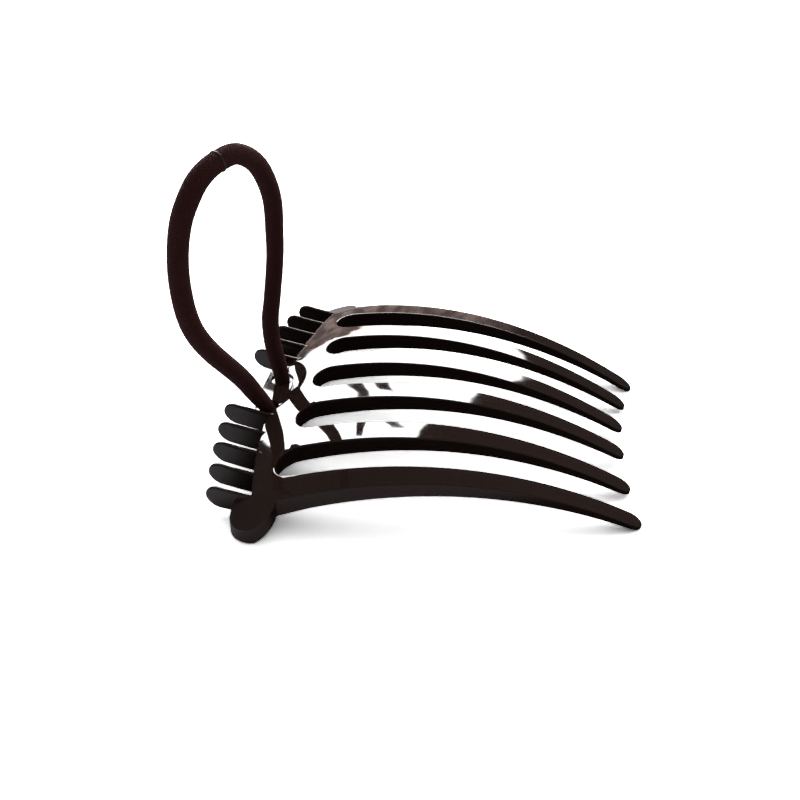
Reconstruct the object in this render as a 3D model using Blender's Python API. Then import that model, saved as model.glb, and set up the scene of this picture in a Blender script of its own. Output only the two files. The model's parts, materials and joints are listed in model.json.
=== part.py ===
"""A ponytail comb: an arched moulding with six teeth and ten back fins, and an elastic loop.

Metres, +Z up. The comb rests hollow side down on its two end lobes and its two outer tips.
X runs from the back edge towards the tips of the teeth, and Y along the back.

The moulding is first a flat slab, drawn with straight, even teeth from a root line at x = 0.
The slab is sliced, and form() then tapers and gathers the teeth and gives it its arch.
"""
from math import asin, atan2, copysign, cos, degrees, hypot, pi, radians, sin

import bmesh
import bpy
from mathutils import Matrix, Vector

# Where the root line of the teeth lies from the middle of the whole comb
ROOT_LINE_X = -0.02677

# Teeth
TOOTH_PITCH = 0.0130
TOOTH_WIDTH_ROOT = 0.00566
TOOTH_WIDTH_TIP = 0.00346
TIP_ROUNDING = 0.0023
OUTER_ROW = 2.5 * TOOTH_PITCH
# How quickly the teeth narrow and thin: shares of x and of its square, and of x and of its cube
NARROWING_SHARES = (1.41, -0.41)
THINNING_SHARES = (0.72, 0.28)

# Each pair of teeth: pitches from the middle, length, share gathered in at the tip, drop of the tip
TOOTH_PAIRS = (
    (0.5, 0.0653, 0.33, 0.0000),
    (1.5, 0.0663, 0.30, 0.0009),
    (2.5, 0.0681, 0.32, 0.0018),
)
# How far forward each gap begins: the middle one, then the one inside each outer pair
GAP_ROOTS_X = (0.00135, 0.00115, 0.0005)

# Arch along the teeth and across the back, measured on the top face
ROOT_HEIGHT = 0.0084
CROWN_RISE = 0.00458
CROWN_PLACE = 0.394
SIDE_DROP = 0.00240
SIDE_DROP_FADE = 1.13
SIDE_DROP_POWER = 1.8

# Thickness of the moulding and rounding of its rims
ROOT_THICKNESS = 0.00395
TIP_THICKNESS = 0.0009
TOP_ROUNDING = 0.0006
BOTTOM_ROUNDING = 0.0004
# Where the slab is sliced so that it can bend: steps across the spine, stations along its
# width and the number of stretches along the teeth
SLICE_ACROSS = 0.0032
SLICES_A_SIDE = 11
SPINE_STATIONS = (-0.0045, -0.0030, -0.0010, 0.0015, 0.0030)
TOOTH_STRETCHES = 14

# Back edge, its notch and the lobes at its ends
BACK_X = -0.0065
BACK_BOW = 0.0043
NOTCH_X = -0.0127
NOTCH_RADIUS = 0.0119
NOTCH_CORNER_Y = 0.0097
LOBE_X = -0.0012
LOBE_Y = 0.0356
LOBE_RADIUS = 0.00415
LOBE_DROOP_FROM = 0.0335
LOBE_DROOP = 0.0012
LOBE_CORNER = 0.0003

# Fins along the back edge
FIN_FIRST_Y = 0.0103
FIN_PITCH = 0.0057
FINS_A_SIDE = 5
FIN_THICKNESS = 0.0008
FIN_SEATING = 0.0016

# Outline of a fin from its root at the back edge: a top rising outwards, a small arc round the
# free end and a wider one below it, then straight down to the root, which stays clear of the surface
FIN_TOP = 0.00663
FIN_TOP_DROP = 0.00148
FIN_TOP_DROP_POWER = 1.3
FIN_TOP_SLOPE = 0.176
FIN_END = (-0.00655, -0.00093)
FIN_END_RADIUS = 0.00205
FIN_ARC_CHANGE = 205.0
FIN_UNDER_RADIUS = 0.00345
FIN_UNDER_END = 255.0
FIN_ROOT_DEPTH = 0.0054
FIN_ROOT_LOWEST = 0.0004

# Shelf in the notch, dished up to the rim, with a hole for each leg of the elastic
SHELF_EDGE_X = -0.0096
SHELF_TOP = 0.0054
SHELF_THICKNESS = 0.0010
SHELF_COVE = 0.0028
SHELF_BELOW_RIM = 0.0004
SHELF_LAP = 0.0008
SHELF_SLICE = 0.0013
SHELF_SLICES_ALONG = 6
SHELF_SLICES_A_SIDE = 8
HOLE_RADIUS = 0.0024
HOLE_SIDES = 20
HOLE_PIN_LENGTH = 0.006
FIRST_HOLE = (-0.0068, -0.0068)
SECOND_HOLE = (-0.0064, 0.0033)

# Elastic loop and its glued joint
CORD_DIAMETER = 0.0036
CORD_STEP = 0.0034
CORD_CURVE_PIECES = 24
CORD_SIDES_RESOLUTION = 2
END_GAP = 0.0003
JOINT_PLACE = 0.501
JOINT_LENGTH = 0.0012
JOINT_GAP = 0.0003
JOINT_WALL = 0.0004
JOINT_SIDES = 16

# The route of the elastic from under the shelf, up through the first hole and round to the
# second: x from the root line, y, height, and its girth there as a share of the diameter
CORD_ROUTE = (
    (-0.0064, -0.0018, 0.0021, 0.96),
    (-0.0065, -0.0040, 0.0022, 0.92),
    (-0.0066, -0.0056, 0.0028, 0.88),
    (-0.0067, -0.0066, 0.0041, 0.87),
    (-0.0071, -0.0069, 0.0058, 0.88),
    (-0.0087, -0.0077, 0.0089, 1.00),
    (-0.0108, -0.0096, 0.0140, 1.06),
    (-0.0143, -0.0137, 0.0217, 1.09),
    (-0.0160, -0.0160, 0.0269, 1.09),
    (-0.0169, -0.0170, 0.0318, 1.08),
    (-0.0175, -0.0167, 0.0374, 1.06),
    (-0.0176, -0.0156, 0.0427, 1.05),
    (-0.0168, -0.0147, 0.0479, 1.07),
    (-0.0155, -0.0134, 0.0518, 1.08),
    (-0.0139, -0.0112, 0.0550, 1.07),
    (-0.0118, -0.0080, 0.0568, 1.03),
    (-0.0095, -0.0038, 0.0569, 1.02),
    (-0.0076, 0.0011, 0.0531, 1.04),
    (-0.0066, 0.0047, 0.0459, 1.02),
    (-0.0070, 0.0063, 0.0372, 0.98),
    (-0.0072, 0.0059, 0.0316, 0.95),
    (-0.0079, 0.0046, 0.0237, 0.95),
    (-0.0083, 0.0038, 0.0194, 0.97),
    (-0.0079, 0.0030, 0.0147, 0.96),
    (-0.0070, 0.0027, 0.0104, 0.95),
    (-0.0065, 0.0032, 0.0062, 0.89),
    (-0.0064, 0.0031, 0.0041, 0.87),
    (-0.0064, 0.0020, 0.0028, 0.88),
    (-0.0064, 0.0004, 0.0022, 0.92),
    (-0.0064, -0.0018, 0.0021, 0.96),
)


def new_collection(name):
    """A collection under the scene's own."""
    collection = bpy.data.collections.new(name)
    bpy.context.scene.collection.children.link(collection)
    return collection


def material(name, colour, roughness, coat=0.0):
    """A plain finish for one sub-part."""
    finish = bpy.data.materials.new(name)
    finish.use_nodes = True
    shader = finish.node_tree.nodes["Principled BSDF"]
    shader.inputs["Base Color"].default_value = (*colour, 1.0)
    shader.inputs["Roughness"].default_value = roughness
    shader.inputs["Coat Weight"].default_value = coat
    return finish


def arc(centre, radius, start, end, steps, stretch=1.0):
    """Points on an arc in the plane, angles in degrees, with x stretched from a circle's."""
    points = []
    for step in range(steps + 1):
        angle = radians(start + (end - start) * step / steps)
        points.append((centre[0] + radius * stretch * cos(angle), centre[1] + radius * sin(angle)))
    return points


def back_edge(y):
    """The back edge of the slab at one place along it."""
    return BACK_X + BACK_BOW * (y / OUTER_ROW) ** 2


def fin_row(index):
    """How far from the middle one of the fins stands."""
    return FIN_FIRST_Y + index * FIN_PITCH


def half_outline():
    """The slab's outline at +y, from the middle of the notch round to the middle gap."""
    half_width = TOOTH_WIDTH_ROOT / 2
    gap_radius = TOOTH_PITCH / 2 - half_width
    notch_angle = degrees(asin(NOTCH_CORNER_Y / NOTCH_RADIUS))
    points = arc((NOTCH_X, 0.0), NOTCH_RADIUS, 0.0, notch_angle, 8)
    last_fin = fin_row(FINS_A_SIDE - 1)
    first_y = fin_row(0) + FIN_THICKNESS / 4
    last_y = last_fin - FIN_THICKNESS / 4
    steps = 2 * FINS_A_SIDE
    for step in range(steps + 1):
        y = first_y + (last_y - first_y) * step / steps
        points.append((back_edge(y), y))
    points.append((LOBE_X - LOBE_RADIUS, last_fin))
    corner_y = OUTER_ROW + half_width + LOBE_CORNER
    corner_start = degrees(asin((corner_y - LOBE_Y) / LOBE_RADIUS))
    points += arc((LOBE_X, LOBE_Y), LOBE_RADIUS, 180.0, corner_start, 12)
    corner_x = LOBE_X + LOBE_RADIUS * cos(radians(corner_start)) + LOBE_CORNER
    points += arc((corner_x, corner_y), LOBE_CORNER, 180.0, 270.0, 4)[1:]
    for (pitches, length, _, _), gap_root_x in zip(reversed(TOOTH_PAIRS), reversed(GAP_ROOTS_X)):
        row = pitches * TOOTH_PITCH
        tip = (length - TIP_ROUNDING, row)
        points += arc(tip, half_width, 90.0, -90.0, 10, TIP_ROUNDING / half_width)
        gap = (gap_root_x + gap_radius, row - TOOTH_PITCH / 2)
        gap_end = 180.0 if pitches < 1.0 else 270.0
        points += arc(gap, gap_radius, 90.0, gap_end, 5 if pitches < 1.0 else 10)
    return points


def comb_outline():
    """The slab's whole outline: one half and its mirror image."""
    half = half_outline()
    mirrored = [(x, -y) for x, y in reversed(half[1:-1])]
    return half + mirrored


def flat_solid(name, outline, depth, collection):
    """A closed solid with a flat outline in XY, centred on z = 0, its faces merged where flat."""
    curve = bpy.data.curves.new(name, "CURVE")
    curve.dimensions = "2D"
    curve.fill_mode = "BOTH"
    curve.extrude = depth / 2
    spline = curve.splines.new("POLY")
    spline.points.add(len(outline) - 1)
    for point, (x, y) in zip(spline.points, outline):
        point.co = (x, y, 0.0, 1.0)
    spline.use_cyclic_u = True
    drawing = bpy.data.objects.new(name + "_outline", curve)
    collection.objects.link(drawing)
    evaluated = drawing.evaluated_get(bpy.context.evaluated_depsgraph_get())
    mesh = bpy.data.meshes.new_from_object(evaluated)
    mesh.name = name
    bpy.data.objects.remove(drawing)
    bpy.data.curves.remove(curve)
    body = bmesh.new()
    body.from_mesh(mesh)
    bmesh.ops.remove_doubles(body, verts=body.verts, dist=1e-6)
    bmesh.ops.dissolve_limit(body, angle_limit=radians(0.5), verts=body.verts, edges=body.edges)
    bmesh.ops.recalc_face_normals(body, faces=body.faces)
    body.to_mesh(mesh)
    body.free()
    solid = bpy.data.objects.new(name, mesh)
    collection.objects.link(solid)
    return solid


def round_rim(body, height, offset, segments, skip=None):
    """Bevel the rim of a flat solid at one height."""
    rim = []
    for edge in body.edges:
        level = all(abs(vert.co.z - height) < 1e-6 for vert in edge.verts)
        upright = any(abs(face.normal.z) < 0.5 for face in edge.link_faces)
        if level and upright and not (skip and skip(edge)):
            rim.append(edge)
    bmesh.ops.bevel(
        body, geom=rim, offset=offset, offset_type="OFFSET", segments=segments, profile=0.5,
        affect="EDGES", clamp_overlap=True,
    )


def slice_at(body, axis, places, faces=None):
    """Cut faces along planes across one axis, so that they can follow a curve."""
    normal = Vector((0.0, 0.0, 0.0))
    normal[axis] = 1.0
    for place in places:
        origin = normal * place
        chosen = [face for face in body.faces if faces is None or faces(face)]
        edges = {edge for face in chosen for edge in face.edges}
        verts = {vert for face in chosen for vert in face.verts}
        bmesh.ops.bisect_plane(
            body, geom=[*verts, *edges, *chosen], dist=1e-6, plane_co=origin, plane_no=normal,
        )


def tooth_pair(y):
    """The pair of teeth whose row is nearest."""
    index = min(int(abs(y) / TOOTH_PITCH), len(TOOTH_PAIRS) - 1)
    return TOOTH_PAIRS[index]


def top_height(x, y, pair):
    """Height of the top face, from the place along the teeth and across the comb."""
    _, length, _, tip_drop = pair
    along = x / length
    forward = max(along, 0.0)
    crown = CROWN_RISE * (1.0 - ((along - CROWN_PLACE) / CROWN_PLACE) ** 2)
    side = SIDE_DROP * (1.0 - SIDE_DROP_FADE * forward ** SIDE_DROP_POWER) * (y / OUTER_ROW) ** 2
    height = ROOT_HEIGHT + crown - side - tip_drop * forward
    beyond = max(abs(y) - LOBE_DROOP_FROM, 0.0) / (LOBE_Y + LOBE_RADIUS - LOBE_DROOP_FROM)
    if x < GAP_ROOTS_X[0] + TOOTH_PITCH / 2:
        height -= LOBE_DROOP * beyond
    return height


def form(point):
    """Where a point of the flat slab lies on the finished comb."""
    pair = tooth_pair(point.y)
    pitches, length, gather, _ = pair
    along = min(max(point.x / length, 0.0), 1.0)
    row = copysign(pitches * TOOTH_PITCH, point.y)
    narrowing = NARROWING_SHARES[0] * along + NARROWING_SHARES[1] * along ** 2
    width = 1.0 - (1.0 - TOOTH_WIDTH_TIP / TOOTH_WIDTH_ROOT) * narrowing
    y = row * (1.0 - gather * along) + (point.y - row) * width
    thinning = THINNING_SHARES[0] * along + THINNING_SHARES[1] * along ** 3
    thickness = ROOT_THICKNESS - (ROOT_THICKNESS - TIP_THICKNESS) * thinning
    depth = (ROOT_THICKNESS / 2 - point.z) / ROOT_THICKNESS
    height = top_height(point.x, y, pair) - depth * thickness
    return Vector((point.x, y, max(height, 0.0)))


def comb_slab(collection):
    """The slab with rounded rims, sliced and brought to its form."""
    slab = flat_solid("comb_moulding", comb_outline(), ROOT_THICKNESS, collection)
    last_fin = fin_row(FINS_A_SIDE - 1)

    def under_a_fin(edge):
        middle = (edge.verts[0].co + edge.verts[1].co) / 2
        return middle.x < back_edge(last_fin) and abs(abs(middle.y) - last_fin) < FIN_THICKNESS / 2

    body = bmesh.new()
    body.from_mesh(slab.data)
    round_rim(body, ROOT_THICKNESS / 2, TOP_ROUNDING, 2, under_a_fin)
    round_rim(body, -ROOT_THICKNESS / 2, BOTTOM_ROUNDING, 1)
    root_end = GAP_ROOTS_X[0] + (TOOTH_PITCH - TOOTH_WIDTH_ROOT) / 2
    stretch = (TOOTH_PAIRS[-1][1] - TIP_ROUNDING - root_end) / TOOTH_STRETCHES
    slice_at(body, 0, SPINE_STATIONS)
    slice_at(body, 0, [root_end + stretch * step for step in range(TOOTH_STRETCHES + 1)])
    slice_at(
        body, 1, [SLICE_ACROSS * step for step in range(-SLICES_A_SIDE, SLICES_A_SIDE + 1)],
        lambda face: face.calc_center_median().x < root_end,
    )
    for vert in body.verts:
        vert.co = form(vert.co)
    bmesh.ops.triangulate(body, faces=body.faces)
    body.to_mesh(slab.data)
    body.free()
    return slab


def fin(side, index, collection):
    """One upright blade with a round free end, seated in the back edge."""
    y = fin_row(index)
    root_x = back_edge(y)
    root_z = FIN_TOP - FIN_TOP_DROP * (index / (FINS_A_SIDE - 1)) ** FIN_TOP_DROP_POWER
    end = (root_x + FIN_END[0], root_z + FIN_END[1])
    change = radians(FIN_ARC_CHANGE)
    offset = FIN_UNDER_RADIUS - FIN_END_RADIUS
    under = (end[0] - offset * cos(change), end[1] - offset * sin(change))
    inner_x = root_x + FIN_SEATING
    root_under = max(root_z - FIN_ROOT_DEPTH, FIN_ROOT_LOWEST)
    outline = [(inner_x, root_under), (inner_x, root_z - FIN_TOP_SLOPE * FIN_SEATING)]
    outline += arc(end, FIN_END_RADIUS, degrees(atan2(1.0, FIN_TOP_SLOPE)), FIN_ARC_CHANGE, 8)
    outline += arc(under, FIN_UNDER_RADIUS, FIN_ARC_CHANGE, FIN_UNDER_END, 6)[1:]
    name = f"fin_{'left' if side > 0 else 'right'}_{index + 1}"
    blade = flat_solid(name, outline, FIN_THICKNESS, collection)
    upright = Matrix.Translation((0.0, side * y, 0.0)) @ Matrix.Rotation(pi / 2, 4, "X")
    blade.data.transform(upright)
    return blade


def shelf(collection):
    """The thin shelf across the notch, dished up towards the rim."""
    reach = NOTCH_RADIUS + SHELF_LAP
    side = fin_row(0)
    angle = degrees(asin(side / reach))
    outline = [(SHELF_EDGE_X, side), (SHELF_EDGE_X, -side)]
    outline += arc((NOTCH_X, 0.0), reach, -angle, angle, 20)
    plate = flat_solid("shelf", outline, SHELF_THICKNESS, collection)
    body = bmesh.new()
    body.from_mesh(plate.data)
    steps = range(1, SHELF_SLICES_ALONG + 1)
    slice_at(body, 0, [SHELF_EDGE_X + SHELF_SLICE * step for step in steps])
    steps = range(-SHELF_SLICES_A_SIDE, SHELF_SLICES_A_SIDE)
    slice_at(body, 1, [SHELF_SLICE * (step + 0.5) for step in steps])
    for vert in body.verts:
        from_rim = NOTCH_RADIUS - hypot(vert.co.x - NOTCH_X, vert.co.y)
        rise = (max(1.0 - max(from_rim, 0.0) / SHELF_COVE, 0.0)) ** 2
        rim = top_height(vert.co.x, vert.co.y, TOOTH_PAIRS[0]) - SHELF_BELOW_RIM
        if vert.co.z > 0.0:
            vert.co.z = SHELF_TOP + rise * max(rim - SHELF_TOP, 0.0)
        else:
            vert.co.z = SHELF_TOP - SHELF_THICKNESS
    bmesh.ops.triangulate(body, faces=body.faces)
    body.to_mesh(plate.data)
    body.free()
    return plate


def hole_cutter(name, place, collection):
    """An upright pin that cuts one of the holes for the elastic."""
    bpy.ops.mesh.primitive_cylinder_add(
        vertices=HOLE_SIDES, radius=HOLE_RADIUS, depth=HOLE_PIN_LENGTH,
        location=(place[0], place[1], SHELF_TOP - SHELF_THICKNESS / 2),
    )
    pin = bpy.context.object
    pin.name = name
    for owner in list(pin.users_collection):
        owner.objects.unlink(pin)
    collection.objects.link(pin)
    return pin


def hide_guide(guide):
    """Show a guide as wires only."""
    guide.hide_render = True
    guide.display_type = "WIRE"


def cut(target, tool):
    """A live Boolean that takes a guide's form out of a solid."""
    modifier = target.modifiers.new(tool.name, "BOOLEAN")
    modifier.operation = "DIFFERENCE"
    modifier.solver = "EXACT"
    modifier.object = tool


def comb_moulding(parts, guides, added):
    """The whole moulding: slab, shelf and fins as one solid, with the two holes."""
    comb = comb_slab(parts)
    plate = shelf(added)
    for name, place in (("first_hole", FIRST_HOLE), ("second_hole", SECOND_HOLE)):
        cut(plate, hole_cutter(name, place, guides))
    for side in (-1, 1):
        for index in range(FINS_A_SIDE):
            fin(side, index, added)
    modifier = comb.modifiers.new("shelf_and_fins", "BOOLEAN")
    modifier.operation = "UNION"
    modifier.solver = "EXACT"
    modifier.operand_type = "COLLECTION"
    modifier.collection = added
    for guide in [*added.objects, *guides.objects]:
        hide_guide(guide)
    return comb


def smooth_route(step):
    """Points a step apart on a smooth curve through the elastic's route, with their girths."""
    route = [Vector(point) for point in CORD_ROUTE]
    before = route[0] + (route[0] - route[1])
    after = route[-1] + (route[-1] - route[-2])
    stops = [before, *route, after]
    fine = []
    for index in range(1, len(stops) - 2):
        a, b, c, d = stops[index - 1:index + 3]
        for piece in range(CORD_CURVE_PIECES):
            t = piece / CORD_CURVE_PIECES
            fine.append(
                0.5 * (2 * b + (c - a) * t + (2 * a - 5 * b + 4 * c - d) * t ** 2
                       + (3 * b - a - 3 * c + d) * t ** 3)
            )
    fine.append(route[-1])
    lengths = [0.0]
    for first, second in zip(fine, fine[1:]):
        lengths.append(lengths[-1] + (second.xyz - first.xyz).length)
    total = lengths[-1] - END_GAP
    count = max(round(total / step), 2)
    points = []
    index = 0
    for place in range(count + 1):
        distance = total * place / count
        while lengths[index + 1] < distance:
            index += 1
        share = (distance - lengths[index]) / (lengths[index + 1] - lengths[index])
        points.append(fine[index].lerp(fine[index + 1], share))
    return points


def elastic_loop(collection):
    """The elastic: a round cord on its smooth route, its two ends face to face below the shelf."""
    curve = bpy.data.curves.new("elastic_loop", "CURVE")
    curve.dimensions = "3D"
    curve.bevel_depth = CORD_DIAMETER / 2
    curve.bevel_resolution = CORD_SIDES_RESOLUTION
    curve.use_fill_caps = True
    points = smooth_route(CORD_STEP)
    spline = curve.splines.new("POLY")
    spline.points.add(len(points) - 1)
    for knot, point in zip(spline.points, points):
        knot.co = (point.x, point.y, point.z, 1.0)
        knot.radius = point.w
    loop = bpy.data.objects.new("elastic_loop", curve)
    collection.objects.link(loop)
    return loop


def glued_joint(collection):
    """The bead round the cord where its two ends are glued together."""
    points = smooth_route(CORD_STEP)
    place = JOINT_PLACE * (len(points) - 1)
    before, after = points[int(place)], points[int(place) + 1]
    middle = before.lerp(after, place - int(place))
    direction = (after.xyz - before.xyz).normalized()
    inner = CORD_DIAMETER / 2 * middle.w + JOINT_GAP
    outer = inner + JOINT_WALL
    half = JOINT_LENGTH / 2
    corners = [(inner, -half), (inner, half), (outer, half / 2), (outer, -half / 2)]
    body = bmesh.new()
    verts = [body.verts.new((radius, 0.0, z)) for radius, z in corners]
    edges = [body.edges.new((verts[i], verts[(i + 1) % len(verts)])) for i in range(len(verts))]
    bmesh.ops.spin(
        body, geom=[*verts, *edges], cent=(0.0, 0.0, 0.0), axis=(0.0, 0.0, 1.0), angle=2 * pi,
        steps=JOINT_SIDES, use_merge=True,
    )
    bmesh.ops.remove_doubles(body, verts=body.verts, dist=1e-6)
    bmesh.ops.recalc_face_normals(body, faces=body.faces)
    mesh = bpy.data.meshes.new("glued_joint")
    body.to_mesh(mesh)
    body.free()
    bead = bpy.data.objects.new("glued_joint", mesh)
    bead.location = middle.xyz
    bead.rotation_mode = "QUATERNION"
    bead.rotation_quaternion = Vector((0.0, 0.0, 1.0)).rotation_difference(direction)
    collection.objects.link(bead)
    return bead


def main():
    """Build the comb, the elastic and its joint round one reference point."""
    for item in list(bpy.data.objects):
        bpy.data.objects.remove(item)
    parts = new_collection("ponytail_comb")
    guides = new_collection("hole_cutters")
    added = new_collection("shelf_and_fins")
    root_line = bpy.data.objects.new("root_line", None)
    root_line.location = (ROOT_LINE_X, 0.0, 0.0)
    parts.objects.link(root_line)
    plastic = material("dark_brown_plastic", (0.030, 0.016, 0.012), 0.12, coat=0.4)
    fabric = material("dark_brown_elastic", (0.040, 0.014, 0.013), 0.85)
    glue = material("joint_bead", (0.060, 0.040, 0.036), 0.5)
    comb = comb_moulding(parts, guides, added)
    comb.data.materials.append(plastic)
    loop = elastic_loop(parts)
    loop.data.materials.append(fabric)
    bead = glued_joint(parts)
    bead.data.materials.append(glue)
    for item in [*parts.objects, *guides.objects, *added.objects]:
        if item is not root_line:
            item.parent = root_line


main()
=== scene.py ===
"""The looks of a ponytail comb: an arched moulding with teeth and fins, and an elastic loop.

Metres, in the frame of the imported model: the comb lies on z = 0, X runs from its back edge towards
the tips of its teeth and Y along its back. The moulding is drawn flat from a root line, with
straight, even teeth, and CombForm.place() then gives it its taper, its gather and its arch.
"""
import sys

import json
import logging
from dataclasses import dataclass, field
from enum import Enum
from math import asin, atan2, copysign, cos, degrees, hypot, pi, radians, sin
from typing import Callable, Iterable, Optional, Sequence, Union

import bmesh
import bpy
from mathutils import Matrix, Vector

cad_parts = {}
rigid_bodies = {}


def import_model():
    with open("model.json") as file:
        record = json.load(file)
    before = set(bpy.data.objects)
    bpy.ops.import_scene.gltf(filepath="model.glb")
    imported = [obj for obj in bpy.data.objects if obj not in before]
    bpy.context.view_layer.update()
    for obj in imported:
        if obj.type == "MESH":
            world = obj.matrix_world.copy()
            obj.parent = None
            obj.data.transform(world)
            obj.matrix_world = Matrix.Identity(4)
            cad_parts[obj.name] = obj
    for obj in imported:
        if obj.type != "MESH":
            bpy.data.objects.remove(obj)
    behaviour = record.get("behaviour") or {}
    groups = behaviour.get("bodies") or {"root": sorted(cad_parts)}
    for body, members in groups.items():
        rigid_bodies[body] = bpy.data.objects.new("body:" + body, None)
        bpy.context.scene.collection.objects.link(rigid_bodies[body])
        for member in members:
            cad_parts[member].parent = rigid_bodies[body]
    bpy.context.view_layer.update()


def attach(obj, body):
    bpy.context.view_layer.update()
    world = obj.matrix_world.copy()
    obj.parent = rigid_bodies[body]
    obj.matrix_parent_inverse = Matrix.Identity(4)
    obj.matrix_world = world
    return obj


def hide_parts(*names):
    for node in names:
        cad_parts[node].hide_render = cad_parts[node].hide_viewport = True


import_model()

LOG = logging.getLogger("ponytail_comb")

Socket = bpy.types.NodeSocket
Colour = tuple[float, float, float, float]
Pair = tuple[float, float]
Corners = tuple[Pair, ...]
Value = Union[Socket, float, Colour]

# How near two places count as one
TOUCH = 1e-6

# Where the root line of the teeth lies from the middle of the comb
ROOT_LINE = Vector((-0.02677, 0.0, 0.0))

# Route of the elastic: x from the root line, y, height, and its girth as a share of the diameter
ELASTIC_ROUTE = (
    (-0.0064, -0.0018, 0.0021, 0.96),
    (-0.0065, -0.0040, 0.0022, 0.92),
    (-0.0066, -0.0056, 0.0028, 0.88),
    (-0.0067, -0.0066, 0.0041, 0.87),
    (-0.0071, -0.0069, 0.0058, 0.88),
    (-0.0087, -0.0077, 0.0089, 1.00),
    (-0.0108, -0.0096, 0.0140, 1.06),
    (-0.0143, -0.0137, 0.0217, 1.09),
    (-0.0160, -0.0160, 0.0269, 1.09),
    (-0.0169, -0.0170, 0.0318, 1.08),
    (-0.0175, -0.0167, 0.0374, 1.06),
    (-0.0176, -0.0156, 0.0427, 1.05),
    (-0.0168, -0.0147, 0.0479, 1.07),
    (-0.0155, -0.0134, 0.0518, 1.08),
    (-0.0139, -0.0112, 0.0550, 1.07),
    (-0.0118, -0.0080, 0.0568, 1.03),
    (-0.0095, -0.0038, 0.0569, 1.02),
    (-0.0076, 0.0011, 0.0531, 1.04),
    (-0.0066, 0.0047, 0.0459, 1.02),
    (-0.0070, 0.0063, 0.0372, 0.98),
    (-0.0072, 0.0059, 0.0316, 0.95),
    (-0.0079, 0.0046, 0.0237, 0.95),
    (-0.0083, 0.0038, 0.0194, 0.97),
    (-0.0079, 0.0030, 0.0147, 0.96),
    (-0.0070, 0.0027, 0.0104, 0.95),
    (-0.0065, 0.0032, 0.0062, 0.89),
    (-0.0064, 0.0031, 0.0041, 0.87),
    (-0.0064, 0.0020, 0.0028, 0.88),
    (-0.0064, 0.0004, 0.0022, 0.92),
    (-0.0064, -0.0018, 0.0021, 0.96),
)


class Side(Enum):
    """The two sides of the comb, seen from its back."""

    RIGHT_HAND = -1
    LEFT_HAND = 1


class Axis(Enum):
    """The ways in which flat work is sliced."""

    X = 0
    Y = 1


class Boolean(Enum):
    """What one solid does to another."""

    JOIN = "UNION"
    CUT = "DIFFERENCE"


class Mixed(Enum):
    """What is mixed."""

    NUMBERS = "FLOAT"
    COLOURS = "RGBA"


def deselect_all() -> None:
    """Leave edit mode and deselect every object."""
    if bpy.context.object and bpy.context.object.mode != "OBJECT":
        bpy.ops.object.mode_set(mode="OBJECT")
    for item in bpy.data.objects:
        if item.name in bpy.context.view_layer.objects:
            item.select_set(False)


def make_active(item: bpy.types.Object) -> None:
    """Select one object alone and make it the active one.

    Args:
        item: the object.
    """
    deselect_all()
    item.select_set(True)
    bpy.context.view_layer.objects.active = item


def arc(
    centre: Pair, radius: float, start: float, end: float, steps: int, stretch: float = 1.0
) -> list[Pair]:
    """Points on an arc.

    Args:
        centre: the arc's centre.
        radius: the arc's radius across.
        start: the first point's angle in degrees.
        end: the last point's angle in degrees.
        steps: how many chords the arc has.
        stretch: how much longer than round it is along the first axis.

    Returns:
        The points, both ends included.
    """
    points = []
    for step in range(steps + 1):
        angle = radians(start + (end - start) * step / steps)
        points.append((centre[0] + radius * stretch * cos(angle), centre[1] + radius * sin(angle)))
    return points


def flat_plate(name: str, outline: Sequence[Pair], thickness: float) -> bpy.types.Object:
    """A plate with a drawn outline: a disc brought to the outline and extruded.

    Args:
        name: the object's name.
        outline: the outline's points in order.
        thickness: the plate's thickness, half of it on each side of z = 0.

    Returns:
        The plate, in object mode.
    """
    deselect_all()
    bpy.ops.mesh.primitive_circle_add(vertices=len(outline), radius=0.01, fill_type="NGON")
    plate = bpy.context.object
    plate.name = name
    for vert, (x, y) in zip(plate.data.vertices, outline):
        vert.co = (x, y, -thickness / 2)
    bpy.ops.object.mode_set(mode="EDIT")
    bpy.ops.mesh.select_all(action="SELECT")
    bpy.ops.mesh.extrude_region_move(TRANSFORM_OT_translate={"value": (0.0, 0.0, thickness)})
    bpy.ops.mesh.select_all(action="SELECT")
    bpy.ops.mesh.normals_make_consistent(inside=False)
    bpy.ops.object.mode_set(mode="OBJECT")
    return plate


def select_edges(plate: bpy.types.Object, wanted: Callable[[bmesh.types.BMEdge], bool]) -> None:
    """Select the edges of the object in edit mode that a test picks.

    Args:
        plate: the object in edit mode.
        wanted: the test.
    """
    bpy.ops.mesh.select_all(action="DESELECT")
    bpy.ops.mesh.select_mode(type="EDGE")
    body = bmesh.from_edit_mesh(plate.data)
    for edge in body.edges:
        edge.select_set(wanted(edge))
    bmesh.update_edit_mesh(plate.data)


def round_rim(
    plate: bpy.types.Object, height: float, width: float, segments: int,
    skip: Callable[[Vector], bool] = lambda middle: False,
) -> None:
    """Bevel a plate's rim at one height.

    Args:
        plate: the plate.
        height: the rim's height.
        width: how far in the bevel reaches.
        segments: how many facets it has.
        skip: a test for the places that stay sharp.
    """
    make_active(plate)
    bpy.ops.object.mode_set(mode="EDIT")

    def on_rim(edge: bmesh.types.BMEdge) -> bool:
        """Whether an edge lies on the rim and isn't skipped.

        Args:
            edge: the edge.

        Returns:
            Whether it is bevelled.
        """
        level = all(abs(vert.co.z - height) < TOUCH for vert in edge.verts)
        beside_wall = any(abs(face.normal.z) < 0.5 for face in edge.link_faces)
        return level and beside_wall and not skip((edge.verts[0].co + edge.verts[1].co) / 2)

    select_edges(plate, on_rim)
    bpy.ops.mesh.bevel(
        offset=width, offset_type="OFFSET", segments=segments, profile=0.5, affect="EDGES", clamp_overlap=True
    )
    bpy.ops.object.mode_set(mode="OBJECT")


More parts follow.
